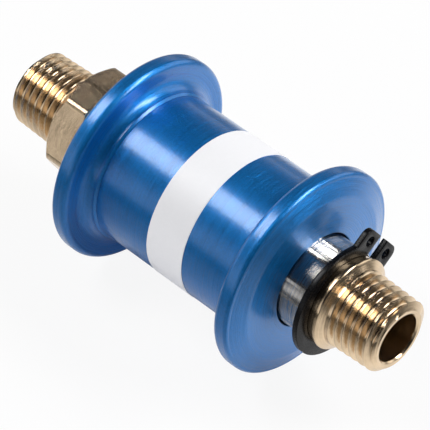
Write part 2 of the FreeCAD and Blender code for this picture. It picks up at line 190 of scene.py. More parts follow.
class FittingSizes(bpy.types.PropertyGroup):
    bore_radius: FloatProperty(
        name="Bore", description="Radius of the passage",
        default=4.2 * MM, precision=5, unit="LENGTH")
    countersink: FloatProperty(
        name="Countersink", description="Chamfer of the passage's mouth",
        default=0.3 * MM, precision=5, unit="LENGTH")
    spigot_radius: FloatProperty(
        name="Spigot", description="Radius of the end that sits in the tube",
        default=5.8 * MM, precision=5, unit="LENGTH")
    seal_groove_radius: FloatProperty(
        name="Seal groove", description="Radius at the bottom of the spigot's seal groove",
        default=4.85 * MM, precision=5, unit="LENGTH")
    flats: FloatProperty(
        name="Across flats", description="Width of the hexagon over two flats",
        default=18 * MM, precision=5, unit="LENGTH")
    corner_radius: FloatProperty(
        name="Corner radius", description="Radius that the hexagon's corners are turned to",
        default=10.13 * MM, precision=5, unit="LENGTH")
    hexagon_start: FloatProperty(
        name="Hexagon start", description="Distance from the free end to the hexagon",
        default=11.5 * MM, precision=5, unit="LENGTH")
    hexagon_width: FloatProperty(
        name="Hexagon width", description="Length of the hexagon along the valve",
        default=6.1 * MM, precision=5, unit="LENGTH")
    shoulder_radius: FloatProperty(
        name="Shoulder", description="Radius of the stop behind the hexagon",
        default=9.2 * MM, precision=5, unit="LENGTH")
    ring_groove_radius: FloatProperty(
        name="Ring groove", description="Radius under the retaining ring",
        default=7.6 * MM, precision=5, unit="LENGTH")


class SleeveSizes(bpy.types.PropertyGroup):
    hole_radius: FloatProperty(
        name="Hole", description="Radius of the hole for the tube",
        default=8.35 * MM, precision=5, unit="LENGTH")
    face_dish: FloatProperty(
        name="Dish", description="Depth of the shallow cone on the end face",
        default=0.5 * MM, precision=5, unit="LENGTH")
    face_radius: FloatProperty(
        name="Face radius", description="Radius where the end face meets the bevel",
        default=14.5 * MM, precision=5, unit="LENGTH")
    bevel_length: FloatProperty(
        name="Bevel", description="Depth of the rim's bevel",
        default=1.05 * MM, precision=5, unit="LENGTH")
    rim_front_round: FloatProperty(
        name="Rim front", description="Rounding of the rim towards the end face",
        default=0.75 * MM, precision=5, unit="LENGTH")
    rim_back_round: FloatProperty(
        name="Rim back", description="Rounding of the rim towards the barrel",
        default=1.0 * MM, precision=5, unit="LENGTH")
    rim_width: FloatProperty(
        name="Rim width", description="Thickness of the rim from bevel to flank",
        default=2.95 * MM, precision=5, unit="LENGTH")
    hub_radius: FloatProperty(
        name="Hub", description="Radius where the flange meets the barrel",
        default=13.4 * MM, precision=5, unit="LENGTH")
    hub_sweep: FloatProperty(
        name="Hub sweep", description="Radius of the sweep from flank to hub",
        default=2.2 * MM, precision=5, unit="LENGTH")
    nose_radius: FloatProperty(
        name="Nose", description="Radius of the end that sits in the barrel",
        default=11.2 * MM, precision=5, unit="LENGTH")
    nose_length: FloatProperty(
        name="Nose length", description="Reach of the nose into the barrel",
        default=2.5 * MM, precision=5, unit="LENGTH")
    chamber_radius: FloatProperty(
        name="Chamber", description="Radius of the barrel's air chamber",
        default=9.5 * MM, precision=5, unit="LENGTH")
    seal_pocket: FloatProperty(
        name="Seal pocket", description="Width of the barrel's seal pocket",
        default=2.2 * MM, precision=5, unit="LENGTH")
    seal_wall: FloatProperty(
        name="Seal wall", description="Wall between seal pocket and chamber",
        default=0.8 * MM, precision=5, unit="LENGTH")
    facets: IntProperty(
        name="Facets", description="Facets of one turn of a round piece",
        default=192, min=64, max=360)


class FinishColours(bpy.types.PropertyGroup):
    anodising: FloatVectorProperty(
        name="Anodising", description="Dyed aluminium of the sleeve", subtype="COLOR",
        size=3, min=0, max=1, default=(0.003, 0.2, 0.59))
    brass: FloatVectorProperty(
        name="Brass", description="Turned brass of both fittings", subtype="COLOR",
        size=3, min=0, max=1, default=(0.82, 0.63, 0.42))
    steel: FloatVectorProperty(
        name="Steel", description="Ground steel of the tube", subtype="COLOR",
        size=3, min=0, max=1, default=(0.62, 0.60, 0.57))
    black_steel: FloatVectorProperty(
        name="Black steel", description="Phosphated steel of the retaining ring",
        subtype="COLOR", size=3, min=0, max=1, default=(0.0035, 0.0035, 0.004))
    label: FloatVectorProperty(
        name="Label", description="White film of the label", subtype="COLOR",
        size=3, min=0, max=1, default=(0.93, 0.93, 0.95))
    rubber: FloatVectorProperty(
        name="Rubber", description="Rubber of the seals", subtype="COLOR",
        size=3, min=0, max=1, default=(0.02, 0.02, 0.021))
    plastic: FloatVectorProperty(
        name="Plastic", description="Plastic of the guide bands", subtype="COLOR",
        size=3, min=0, max=1, default=(0.78, 0.77, 0.72))


class StageSettings(bpy.types.PropertyGroup):
    azimuth: FloatProperty(
        name="Azimuth", description="Camera's angle round the valve",
        default=math.radians(44.34), subtype="ANGLE")
    elevation: FloatProperty(
        name="Elevation", description="Camera's angle above the floor",
        default=math.radians(46.06), subtype="ANGLE")
    distance: FloatProperty(
        name="Distance", description="From the camera to the point it looks at",
        default=0.5652, unit="LENGTH")
    target: FloatVectorProperty(
        name="Target", description="Point that the camera looks at", subtype="TRANSLATION",
        size=3, default=(-0.00032, 0.00101, -0.0026))
    lens: FloatProperty(
        name="Lens", description="Focal length in millimetres", default=301.4)
    floor: FloatVectorProperty(
        name="Floor", description="Colour of the floor and backdrop", subtype="COLOR",
        size=3, min=0, max=1, default=(0.9, 0.9, 0.91))
    ceiling: FloatVectorProperty(
        name="Ceiling", description="Light from above between the lamps", subtype="COLOR",
        size=3, min=0, max=1, default=(0.014, 0.014, 0.016))


class SlideValveSettings(bpy.types.PropertyGroup):
    thread: PointerProperty(
        type=ThreadSizes, name="Threads", description="Sizes of both pipe threads")
    fitting: PointerProperty(
        type=FittingSizes, name="Fittings", description="Sizes of both brass fittings")
    sleeve: PointerProperty(
        type=SleeveSizes, name="Sleeve", description="Sizes of the sliding sleeve")
    colours: PointerProperty(
        type=FinishColours, name="Colours", description="Colours of the finishes")
    stage: PointerProperty(
        type=StageSettings, name="Stage", description="Camera, floor and light from above")


def settings():
    """The scene's groups of sizes and colours."""
    return bpy.context.scene.slide_valve


class Field:
    """A quantity that changes over a surface, so that a finish is written as arithmetic."""

    def __init__(self, nodes, socket):
        self.nodes = nodes
        self.socket = socket

    def maths(self, operation, *operands):
        values = dict(enumerate(operands))
        return self.nodes.node("ShaderNodeMath", {"operation": operation}, values)

    def __add__(self, other):
        return self.maths("ADD", self, other)

    def __radd__(self, other):
        return self.maths("ADD", other, self)

    def __sub__(self, other):
        return self.maths("SUBTRACT", self, other)

    def __rsub__(self, other):
        return self.maths("SUBTRACT", other, self)

    def __mul__(self, other):
        return self.maths("MULTIPLY", self, other)

    def __rmul__(self, other):
        return self.maths("MULTIPLY", other, self)

    def __truediv__(self, other):
        return self.maths("DIVIDE", self, other)

    def __pow__(self, other):
        return self.maths("POWER", self, other)


class Nodes:
    """The nodes of one material or world."""

    def __init__(self, owner):
        owner.use_nodes = True
        self.tree = owner.node_tree

    def node(self, kind, choices=None, sockets=None, output=0):
        """Adds a node: its choices are set first, then its sockets' values and links."""
        made = self.tree.nodes.new(kind)
        for name, value in (choices or {}).items():
            if name == "stops":
                self.set_stops(made.color_ramp, value)
            else:
                setattr(made, name, value)
        for name, value in (sockets or {}).items():
            self.feed(made.inputs[name], value)
        return Field(self, made.outputs[output])

    @staticmethod
    def set_stops(ramp, stops):
        while len(ramp.elements) < len(stops):
            ramp.elements.new(0.5)
        for element, (place, colour) in zip(ramp.elements, stops):
            element.position = place
            element.color = (*colour, 1.0)

    def feed(self, socket, value):
        if isinstance(value, Field):
            self.tree.links.new(value.socket, socket)
        elif socket.type == "RGBA" and len(value) == 3:
            socket.default_value = (*value, 1.0)
        else:
            socket.default_value = value

    def vector_maths(self, operation, sockets, output=0):
        return self.node("ShaderNodeVectorMath", {"operation": operation}, sockets, output)


class Finish(Nodes):
    """A material that is being put together on its own surface shader."""

    def __init__(self, name):
        self.material = bpy.data.materials.new(name)
        super().__init__(self.material)
        self.shader = self.tree.nodes["Principled BSDF"]
        self.position = self.node("ShaderNodeTexCoord", output="Object")
        parts = self.node("ShaderNodeSeparateXYZ", sockets={0: self.position})
        axes = parts.socket.node.outputs
        self.x, self.y, self.z = (Field(self, axis) for axis in axes)
        self.radius = (self.y * self.y + self.z * self.z) ** 0.5

    def surface(self, **sockets):
        """Feeds the surface shader, whose sockets are named with underscores for spaces."""
        for name, value in sockets.items():
            self.feed(self.shader.inputs[name.replace("_", " ")], value)

    def vector(self, x, y, z):
        return self.node("ShaderNodeCombineXYZ", sockets={0: x, 1: y, 2: z})

    def clouds(self, size, detail=2.0):
        """Soft patches about as large as the size given, in millimetres."""
        sockets = {"Vector": self.position, "Scale": 1 / (size * MM), "Detail": detail}
        return self.node("ShaderNodeTexNoise", sockets=sockets)

    def turning(self, spacing, sweep, detail=2.0, roughness=0.5):
        """Marks of a turning tool: rings as far apart as the spacing, in millimetres.

        The larger the sweep, the shorter each mark is round the axis.
        """
        scale = 1 / (spacing * MM)
        place = self.vector(self.x * scale, self.radius * scale, self.y / self.radius * sweep)
        sockets = {"Vector": place, "W": self.z / self.radius * sweep, "Scale": 1.0,
                   "Detail": detail, "Roughness": roughness}
        return self.node("ShaderNodeTexNoise", {"noise_dimensions": "4D"}, sockets)

    def between(self, value, low, high):
        """0 up to the low value, 1 from the high value, and a smooth rise between them."""
        sockets = {"Value": value, "From Min": low, "From Max": high}
        return self.node("ShaderNodeMapRange", {"interpolation_type": "SMOOTHSTEP"}, sockets)

    def blend(self, share, first, second):
        """A colour that goes from the first to the second with the share."""
        sockets = {MIX_SHARE: share, MIX_FIRST: first, MIX_SECOND: second}
        return self.node("ShaderNodeMix", {"data_type": "RGBA"}, sockets, output=MIX_RESULT)

    def brushed(self, marks, spread):
        """The surface's normal, tipped across the turning marks. The spread is a slope."""
        normal = self.node("ShaderNodeTexCoord", output="Normal")
        round_axis = self.vector(0.0, 0.0 - self.z, self.y)
        across = self.vector_maths("CROSS_PRODUCT", {0: normal, 1: round_axis})
        across = self.vector_maths("NORMALIZE", {0: across})
        tip = self.vector_maths("SCALE", {0: across, "Scale": (marks - 0.5) * spread})
        tipped = self.vector_maths("ADD", {0: normal, 1: tip})
        tipped = self.vector_maths("NORMALIZE", {0: tipped})
        return self.node(
            "ShaderNodeVectorTransform",
            {"vector_type": "NORMAL", "convert_from": "OBJECT", "convert_to": "WORLD"},
            {"Vector": tipped})

    def relief(self, height, depth, below=None):
        """Turns a height of 0 to 1 into a surface relief of the depth given, in millimetres."""
        sockets = {"Height": height, "Distance": depth * MM, "Strength": 1.0}
        if below is not None:
            sockets["Normal"] = below
        return self.node("ShaderNodeBump", sockets=sockets)


def shade_of(colour, factor):
    """A colour made lighter or darker."""
    return tuple(min(1.0, part * factor) for part in colour)


def blue_anodising():
    """Dyed and sealed aluminium, satin from fine turning marks under a clear film."""
    colour = settings().colours.anodising
    finish = Finish("blue_anodising")
    fine = finish.turning(0.02, 0.9)
    streaks = finish.turning(0.22, 0.9, detail=4.0, roughness=0.7)
    grain = finish.clouds(0.35, detail=3.0)
    tone = finish.between(streaks * 0.5 + grain * 0.5, 0.3, 0.7)
    finish.surface(
        Base_Color=finish.blend(tone, shade_of(colour, 0.86), shade_of(colour, 1.14)),
        Metallic=0.8,
        Roughness=0.32 + 0.16 * tone,
        Coat_Weight=1.0,
        Coat_Roughness=0.2,
        Coat_IOR=1.5,
        Normal=finish.relief(tone, 0.005, below=finish.brushed(fine, 3.4)),
    )
    return finish.material


def turned_brass():
    """Bright turned brass with a little tarnish, rougher where it is milled."""
    colour = settings().colours.brass
    finish = Finish("turned_brass")
    marks = finish.turning(0.02, 0.9)
    rings = finish.turning(0.3, 1.5, detail=3.0, roughness=0.6)
    tarnish = finish.clouds(3.0, detail=4.0)
    tone = finish.between(tarnish * 0.6 + rings * 0.4, 0.35, 0.7)
    milled = finish.between(finish.radius, *(radius * MM for radius in MILLED_RADII))
    finish.surface(
        Base_Color=finish.blend(tone, colour, shade_of(colour, 0.8)),
        Metallic=1.0,
        Roughness=0.15 + 0.1 * tone,
        Normal=finish.relief(rings, 0.003, below=finish.brushed(marks, 1.0 + 2.0 * milled)),
    )
    return finish.material


def ground_steel():
    """Ground steel with grinding lines and faint stains."""
    colour = settings().colours.steel
    finish = Finish("ground_steel")
    marks = finish.turning(0.02, 0.8)
    lines = finish.turning(0.3, 0.8, detail=3.0, roughness=0.65)
    stains = finish.clouds(5.0, detail=3.0)
    tone = finish.between(lines * 0.6 + stains * 0.4, 0.35, 0.65)
    finish.surface(
        Base_Color=finish.blend(tone, shade_of(colour, 0.75), shade_of(colour, 1.1)),
        Metallic=1.0,
        Roughness=0.18 + 0.06 * lines,
        Normal=finish.brushed(marks, 2.6),
    )
    return finish.material


def black_steel():
    """Spring steel under a black phosphate coat."""
    colour = settings().colours.black_steel
    finish = Finish("black_steel")
    grain = finish.clouds(0.25, detail=4.0)
    patches = finish.clouds(3.0)
    finish.surface(
        Base_Color=finish.blend(patches, colour, shade_of(colour, 1.8)),
        Metallic=0.0,
        Roughness=0.2 + 0.15 * grain,
        Specular_IOR_Level=0.18,
        Normal=finish.relief(grain, 0.012),
    )
    return finish.material


def white_film():
    """Bare label film that lies a little uneven."""
    colour = settings().colours.label
    finish = Finish("white_film")
    ripple = finish.clouds(2.2, detail=1.0)
    paper = finish.clouds(0.4, detail=3.0)
    finish.surface(
        Base_Color=finish.blend(paper, shade_of(colour, 0.97), shade_of(colour, 1.02)),
        Roughness=0.42 + 0.1 * ripple,
        Normal=finish.relief(ripple, 0.01),
    )
    return finish.material


def moulded_rubber():
    """Black rubber with the grain of its mould."""
    colour = settings().colours.rubber
    finish = Finish("moulded_rubber")
    grain = finish.clouds(0.2, detail=3.0)
    finish.surface(
        Base_Color=finish.blend(grain, colour, shade_of(colour, 1.6)),
        Roughness=0.45 + 0.15 * grain,
        Normal=finish.relief(grain, 0.004),
    )
    return finish.material


def cut_plastic():
    """Pale plastic strip, cut and bent to a band."""
    colour = settings().colours.plastic
    finish = Finish("cut_plastic")
    grain = finish.clouds(0.5, detail=3.0)
    finish.surface(
        Base_Color=finish.blend(grain, shade_of(colour, 0.93), colour),
        Roughness=0.4 + 0.15 * grain,
        Normal=finish.relief(grain, 0.006),
    )
    return finish.material


def outline(points, closed=False):
    """A wire through points of (station, radius) or (station, radius, corner rounding).

    Long runs get a short lead at each end, which keeps their shading straight.
    """
    bm = bmesh.new()
    verts = [bm.verts.new((point[0], 0, point[1])) for point in points]
    pairs = list(zip(verts, verts[1:])) + ([(verts[-1], verts[0])] if closed else [])
    for pair in pairs:
        bm.edges.new(pair)
    roundings = {}
    for vert, point in zip(verts, points):
        if len(point) > 2 and point[2]:
            roundings.setdefault(point[2], []).append(vert)
    for offset, corners in roundings.items():
        bmesh.ops.bevel(
            bm, geom=corners, offset=offset, offset_type="OFFSET", profile=0.5, material=-1,
            segments=max(3, min(12, round(offset * SEGMENTS_PER_MM))), affect="VERTICES")
    for edge in list(bm.edges):
        length = edge.calc_length()
        if length > LONG_RUN:
            near, far = edge.verts
            middle = bmesh.utils.edge_split(edge, near, LEAD / length)[1]
            rest = next(part for part in middle.link_edges if far in part.verts)
            bmesh.utils.edge_split(rest, far, LEAD / (length - LEAD))
    return bm


def spin_outline(bm, facets):
    """Turns the outline once round the axis."""
    bmesh.ops.spin(
        bm, geom=bm.verts[:] + bm.edges[:], cent=(0, 0, 0), axis=(1, 0, 0), dvec=(0, 0, 0),
        angle=2 * math.pi, space=Matrix.Identity(4), steps=facets, use_merge=True,
        use_normal_flip=False, use_duplicate=False)


def turned(points, facets=None):
    """A closed turned solid from the outline of its section."""
    bm = outline(points, closed=True)
    spin_outline(bm, facets or settings().sleeve.facets)
    return bm


def place_on_ring(verts, station, radius):
    """Moves points to a station and radius, each a number or a function of the angle."""
    for vert in verts:
        angle = math.atan2(vert.co.z, vert.co.y)
        x = station(angle) if callable(station) else station
        r = radius(angle) if callable(radius) else radius
        vert.co = (x, r * math.cos(angle), r * math.sin(angle))


def led_on(bm, edges, station, radius):
    """Extends an open ring to the next station and radius, and gives the new ring's edges."""
    made = bmesh.ops.extrude_edge_only(bm, edges=edges)["geom"]
    verts = {item for item in made if isinstance(item, bmesh.types.BMVert)}
    place_on_ring(verts, station, radius)
    return [edge for edge in bm.edges if edge.verts[0] in verts and edge.verts[1] in verts]


def open_ring(bm, station):
    """Edges of the open ring that lies at a station."""
    return [edge for edge in bm.edges if edge.is_boundary
            and all(abs(vert.co.x - station) < AT_STATION for vert in edge.verts)]


def taken_in(bm, other):
    """Adds another mesh to this one."""
    mesh = bpy.data.meshes.new("part")
    other.to_mesh(mesh)
    other.free()
    bm.from_mesh(mesh)
    bpy.data.meshes.remove(mesh)


def bridge(bm, first, second):
    """Joins the open rings at two stations, which differ enough to show which way they face."""
    bmesh.ops.bridge_loops(bm, edges=open_ring(bm, first) + open_ring(bm, second))


def wound_thread(end_x, inward, length, relief_r, crest_x):
    """The taper thread: its profile wound round the axis and trimmed to the turned blank.

    A crest lies at the station crest_x on the front. Gives the mesh and the station where it
    ends at the neck.
    """
    size = settings().thread
    pitch = size.pitch / MM
    angle = size.flank_angle
    end_r = size.end_radius / MM
    nose_r, nose_length = size.nose_radius / MM, size.nose_length / MM
    crest_apex = end_r + size.crest_round / MM * (1 / math.sin(angle) - 1)
    root_apex = crest_apex - pitch / 2 / math.tan(angle)
    middle = (crest_apex + root_apex) / 2
    inner_x = end_x + inward * (length + THREAD_RUN_OUT + LEAD)
    outer_x = end_x + inward * LEAD / 8
    low_x, high_x = min(outer_x, inner_x), max(outer_x, inner_x)

    bm = bmesh.new()
    start = crest_x - pitch / 2 - FRONT_TURN * pitch
    start -= pitch * math.ceil((start - low_x) / pitch + 2)
    shape = ((-pitch / 4, middle), (0, root_apex), (pitch / 2, crest_apex),
             (3 * pitch / 4, middle))
    chain = [bm.verts.new((start + x, 0, r)) for x, r in shape]
    for pair in zip(chain, chain[1:]):
        bm.edges.new(pair)
    for vert, rounding in ((chain[1], size.root_round), (chain[2], size.crest_round)):
        bmesh.ops.bevel(
            bm, geom=[vert], offset=rounding / MM / math.tan(angle), offset_type="OFFSET",
            segments=5, profile=0.5, affect="VERTICES", material=-1)
    bmesh.ops.spin(
        bm, geom=bm.verts[:] + bm.edges[:], cent=(0, 0, 0), axis=(1, 0, 0),
        dvec=(pitch / size.steps, 0, 0), angle=2 * math.pi, space=Matrix.Identity(4),
        steps=size.steps, use_merge=False, use_normal_flip=False, use_duplicate=False)
    turn = bm.verts[:] + bm.edges[:] + bm.faces[:]
    for number in range(1, math.ceil((high_x - start) / pitch) + 2):
        copy = bmesh.ops.duplicate(bm, geom=turn)["geom"]
        verts = [item for item in copy if isinstance(item, bmesh.types.BMVert)]
        bmesh.ops.translate(bm, verts=verts, vec=(number * pitch, 0, 0))
    bmesh.ops.remove_doubles(bm, verts=bm.verts[:], dist=THREAD_WELD)

    for vert in bm.verts:
        depth = (vert.co.x - end_x) * inward
        radius = math.hypot(vert.co.y, vert.co.z)
        cone = end_r + depth * size.taper / 2
        nose = nose_r + (cone - nose_r) * min(1, max(depth, 0) / nose_length)
        target = min(radius + depth * size.taper / 2, nose)
        share = min(1, max(0, (depth - length) / THREAD_RUN_OUT))
        target += (relief_r - target) * share
        vert.co.y *= target / radius
        vert.co.z *= target / radius
    for x, side in ((low_x, -1), (high_x, 1)):
        bmesh.ops.bisect_plane(
            bm, geom=bm.verts[:] + bm.edges[:] + bm.faces[:], dist=1e-5, plane_co=(x, 0, 0),
            plane_no=(side, 0, 0), use_snap_center=False, clear_outer=True, clear_inner=False)
    return bm, inner_x


def hexagon_radius(angle):
    """Radius of the hexagon with turned corners, which has a corner on the Y axis."""
    size = settings().fitting
    from_flat = (math.degrees(angle) % 60) - 30
    return min(size.flats / MM / 2 / math.cos(math.radians(from_flat)), size.corner_radius / MM)


def hexagon_ring(left, inner_r):
    """The hexagon's surface from its first end face to its second, bevelled at both ends.

    Points near the edges between the flats and the turned corners are moved onto them.
    """
    size = settings().fitting
    flat_r = size.flats / MM / 2
    right = left + size.hexagon_width / MM
    band = math.degrees(math.acos(flat_r / (size.corner_radius / MM)))
    bm = bmesh.new()
    bmesh.ops.create_circle(bm, segments=HEXAGON_FACETS, radius=1)
    bmesh.ops.rotate(bm, verts=bm.verts[:], cent=(0, 0, 0),
                     matrix=Matrix(((0, 0, 1), (0, 1, 0), (-1, 0, 0))))
    step = 360 / HEXAGON_FACETS
    edge_angle = 30 - band
    for vert in bm.verts:
        angle = math.degrees(math.atan2(vert.co.z, vert.co.y))
        from_corner = (angle + 30) % 60 - 30
        if 0 < abs(from_corner) < edge_angle and abs(from_corner) > edge_angle - step:
            angle += math.copysign(edge_angle, from_corner) - from_corner
            vert.co.y = math.cos(math.radians(angle))
            vert.co.z = math.sin(math.radians(angle))
    place_on_ring(bm.verts, left, inner_r)

    def outer_edge(angle):
        return left + OUTER_CHAMFER_SLOPE * (hexagon_radius(angle) - flat_r)

    def inner_edge(angle):
        return right - INNER_CHAMFER_SLOPE * (hexagon_radius(angle) - flat_r)

    stations = (
        (left, flat_r),
        (outer_edge, hexagon_radius),
        (lambda angle: outer_edge(angle) + LEAD, hexagon_radius),
        (lambda angle: inner_edge(angle) - LEAD, hexagon_radius),
        (inner_edge, hexagon_radius),
        (right, flat_r),
    )
    edges = bm.edges[:]
    for station, radius in stations:
        edges = led_on(bm, edges, station, radius)
    return bm, right


def bore_points(end_x, inward):
    """Outline of the free end's face, from its rim, and the mouth of the passage."""
    size = settings().fitting
    bore, sink = size.bore_radius / MM, size.countersink / MM
    rim_r = settings().thread.nose_radius / MM - LEAD
    return [(end_x, rim_r), (end_x, bore + sink, 0.05),
            (end_x + inward * sink, bore, 0.05)]


def spigot_points(tube_x, end_x):
    """Outline of a spigot from the tube's end to its own end, with its seal groove."""
    size = settings().fitting
    inward = math.copysign(1, end_x - tube_x)
    spigot, groove = size.spigot_radius / MM, size.seal_groove_radius / MM
    near, far = (tube_x + inward * distance for distance in SEAL_GROOVE)
    return [(tube_x, spigot), (near, spigot), (near, groove), (far, groove), (far, spigot),
            (end_x, spigot, 0.15), (end_x, size.bore_radius / MM, 0.1)]


def finish_mesh(bm, name, node, material):
    """Closes a piece's mesh, scales it to metres and puts it in the place of its node."""
    bmesh.ops.remove_doubles(bm, verts=bm.verts[:], dist=WELD)
    bmesh.ops.dissolve_degenerate(bm, edges=bm.edges[:], dist=SHRUNK)
    bmesh.ops.recalc_face_normals(bm, faces=bm.faces[:])
    for face in bm.faces:
        face.smooth = abs(face.normal.x) < END_FACE
    bmesh.ops.scale(bm, vec=(MM, MM, MM), verts=bm.verts[:])
    mesh = bpy.data.meshes.new(name)
    bm.to_mesh(mesh)
    bm.free()
    mesh.set_sharp_from_angle(angle=SHARP_ANGLE)
    piece = bpy.data.objects.new(name, mesh)
    bpy.context.scene.collection.objects.link(piece)
    piece.data.materials.append(material)
    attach(piece, frame["nodes"][node]["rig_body"])
    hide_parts(node)


def finish_of(make):
    """The material that a function makes, made once."""
    return bpy.data.materials.get(make.__name__) or make()


class VALVE_OT_inlet_fitting(bpy.types.Operator):
    """Brass inlet fitting: taper thread, spanner hexagon, shoulder and spigot"""

    bl_idname = "valve.inlet_fitting"
    bl_label = "Inlet fitting"

    def execute(self, context):
        thread, size = settings().thread, settings().fitting
        end_x, spigot_x = INLET_LOW.x, INLET_HIGH.x
        relief_r = thread.inlet_relief / MM
        bm, relief_x = wound_thread(
            end_x, 1, thread.inlet_length / MM, relief_r, thread.inlet_crest / MM)
        left = end_x + size.hexagon_start / MM
        hexagon, right = hexagon_ring(left, relief_r)
        shoulder = size.shoulder_radius / MM
        flat_r = size.flats / MM / 2
        body = outline(
            [(right + LEAD / 4, flat_r + LEAD), (right + LEAD / 2, shoulder, 0.08),
             (TUBE_LOW.x - SHOULDER_CHAMFER, shoulder, 0.1),
             (TUBE_LOW.x, shoulder - SHOULDER_CHAMFER)]
            + spigot_points(TUBE_LOW.x, spigot_x) + bore_points(end_x, 1)[::-1])
        spin_outline(body, settings().sleeve.facets)
        taken_in(bm, hexagon)
        taken_in(bm, body)
        bridge(bm, relief_x, left)
        bridge(bm, right, right + LEAD / 4)
        bridge(bm, end_x, end_x + LEAD / 8)
        finish_mesh(bm, "inlet_fitting_brass", "inlet_fitting", finish_of(turned_brass))
        return {"FINISHED"}


class VALVE_OT_outlet_fitting(bpy.types.Operator):
    """Brass outlet fitting: taper thread, collar, ring groove and spigot"""

    bl_idname = "valve.outlet_fitting"
    bl_label = "Outlet fitting"

    def execute(self, context):
        thread, size = settings().thread, settings().fitting
        end_x, spigot_x = OUTLET_HIGH.x, OUTLET_LOW.x
        relief_r = thread.outlet_relief / MM
        bm, relief_x = wound_thread(
            end_x, -1, thread.outlet_length / MM, relief_r, thread.outlet_crest / MM)
        tube_x, tube_r = TUBE_HIGH.x, TUBE_HIGH.z
        groove_r = size.ring_groove_radius / MM
        face_x, edge_x, foot_x = COLLAR
        body = outline(
            [(foot_x + LEAD, relief_r), (foot_x, relief_r), (edge_x, tube_r, 0.15),
             (face_x, tube_r, 0.12), (face_x, groove_r), (tube_x, groove_r)]
            + spigot_points(tube_x, spigot_x) + bore_points(end_x, -1)[::-1])
        spin_outline(body, settings().sleeve.facets)
        taken_in(bm, body)
        bridge(bm, relief_x, foot_x + LEAD)
        bridge(bm, end_x, end_x - LEAD / 8)
        finish_mesh(bm, "outlet_fitting_brass", "outlet_fitting", finish_of(turned_brass))
        return {"FINISHED"}


class VALVE_OT_stem_tube(bpy.types.Operator):
    """Ground steel tube that the sleeve runs on"""

    bl_idname = "valve.stem_tube"
    bl_label = "Stem tube"

    def execute(self, context):
        smooth_copy("stem_tube", "stem_tube_steel", finish_of(ground_steel))
        return {"FINISHED"}


def smooth_copy(node, name, material, rounding=0.0):
    """A piece from a node's own shape, with merged points and rounded edges."""
    bm = bmesh.new()
    bm.from_mesh(frame["nodes"][node].data)
    bmesh.ops.scale(bm, vec=(1 / MM, 1 / MM, 1 / MM), verts=bm.verts[:])
    bmesh.ops.remove_doubles(bm, verts=bm.verts[:], dist=WELD)
    if rounding:
        bmesh.ops.dissolve_limit(
            bm, angle_limit=FLAT_ANGLE, verts=bm.verts[:], edges=bm.edges[:],
            use_dissolve_boundaries=False)
        sharp = [part for part in bm.edges
                 if part.is_manifold and part.calc_face_angle() > ROUNDED_ANGLE]
        bmesh.ops.bevel(
            bm, geom=sharp, offset=rounding, offset_type="OFFSET", segments=3, profile=0.5,
            affect="EDGES", material=-1)
    finish_mesh(bm, name, node, material)


class VALVE_OT_retaining_ring(bpy.types.Operator):
    """Black spring steel ring with its two drilled lugs"""

    bl_idname = "valve.retaining_ring"
    bl_label = "Retaining ring"

    def execute(self, context):
        smooth_copy(
            "retaining_ring", "retaining_ring_black", finish_of(black_steel), rounding=0.12)
        return {"FINISHED"}


class VALVE_OT_sleeve_barrel(bpy.types.Operator):
    """Anodised barrel with its seal pockets and air chamber"""

    bl_idname = "valve.sleeve_barrel"
    bl_label = "Sleeve barrel"

    def execute(self, context):
        size = settings().sleeve
        low, high, outer = BARREL_LOW.x, BARREL_HIGH.x, BARREL_HIGH.z
        seat = size.nose_radius / MM + SEAT_GAP
        nose = size.nose_length / MM
        pocket = nose + size.seal_pocket / MM
        wall = pocket + size.seal_wall / MM
        hole, chamber = size.hole_radius / MM, size.chamber_radius / MM
        inside = [(0, seat), (nose, seat), (nose, SEAL_SEAT_RADIUS),
                  (pocket, SEAL_SEAT_RADIUS), (pocket, hole), (wall, hole), (wall, chamber)]
        points = [(low, outer, 0.06)] + [(low + x, r) for x, r in inside]
        points += [(high - x, r) for x, r in inside[::-1]] + [(high, outer, 0.06)]
        finish_mesh(turned(points), "sleeve_barrel_blue", "sleeve_barrel",
                    finish_of(blue_anodising))
        return {"FINISHED"}


def flange_points(end_x, inward):
    """Outline of a finger flange: end face, bevelled and rounded rim, swept hub and nose."""
    size = settings().sleeve
    hole, nose_r = size.hole_radius / MM, size.nose_radius / MM
    dish, rim_r = size.face_dish / MM, INLET_FLANGE_HIGH.z
    bevel = dish + size.bevel_length / MM
    flank = bevel + size.rim_width / MM
    hub_r, sweep = size.hub_radius / MM, size.hub_sweep / MM
    hub_end = flank + sweep
    nose_end = hub_end + size.nose_length / MM
    band_start, band_end = BAND_GROOVE
    points = [
        (0, hole, 0.15),
        (dish, size.face_radius / MM, 0.3),
        (bevel, rim_r - size.rim_front_round / MM, 0.08),
        (bevel, rim_r, size.rim_front_round / MM * 0.9),
        (flank, rim_r, size.rim_back_round / MM),
        (flank, hub_r, sweep),
        (hub_end - HUB_CHAMFER, hub_r, 0.05),
        (hub_end, hub_r - HUB_CHAMFER, 0.03),
        (hub_end, nose_r),
        (nose_end, nose_r),
        (nose_end, hole),
        (band_end, hole),
        (band_end, BAND_GROOVE_RADIUS),
        (band_start, BAND_GROOVE_RADIUS),
        (band_start, hole),
    ]
    return [(end_x + inward * point[0], *point[1:]) for point in points]


class VALVE_OT_finger_flanges(bpy.types.Operator):
    """Anodised finger flanges at both ends of the barrel"""

    bl_idname = "valve.finger_flanges"
    bl_label = "Finger flanges"

    def execute(self, context):
        blue = finish_of(blue_anodising)
        finish_mesh(turned(flange_points(INLET_FLANGE_LOW.x, 1)), "inlet_flange_blue",
                    "inlet_flange", blue)
        finish_mesh(turned(flange_points(OUTLET_FLANGE_HIGH.x, -1)), "outlet_flange_blue",
                    "outlet_flange", blue)
        return {"FINISHED"}


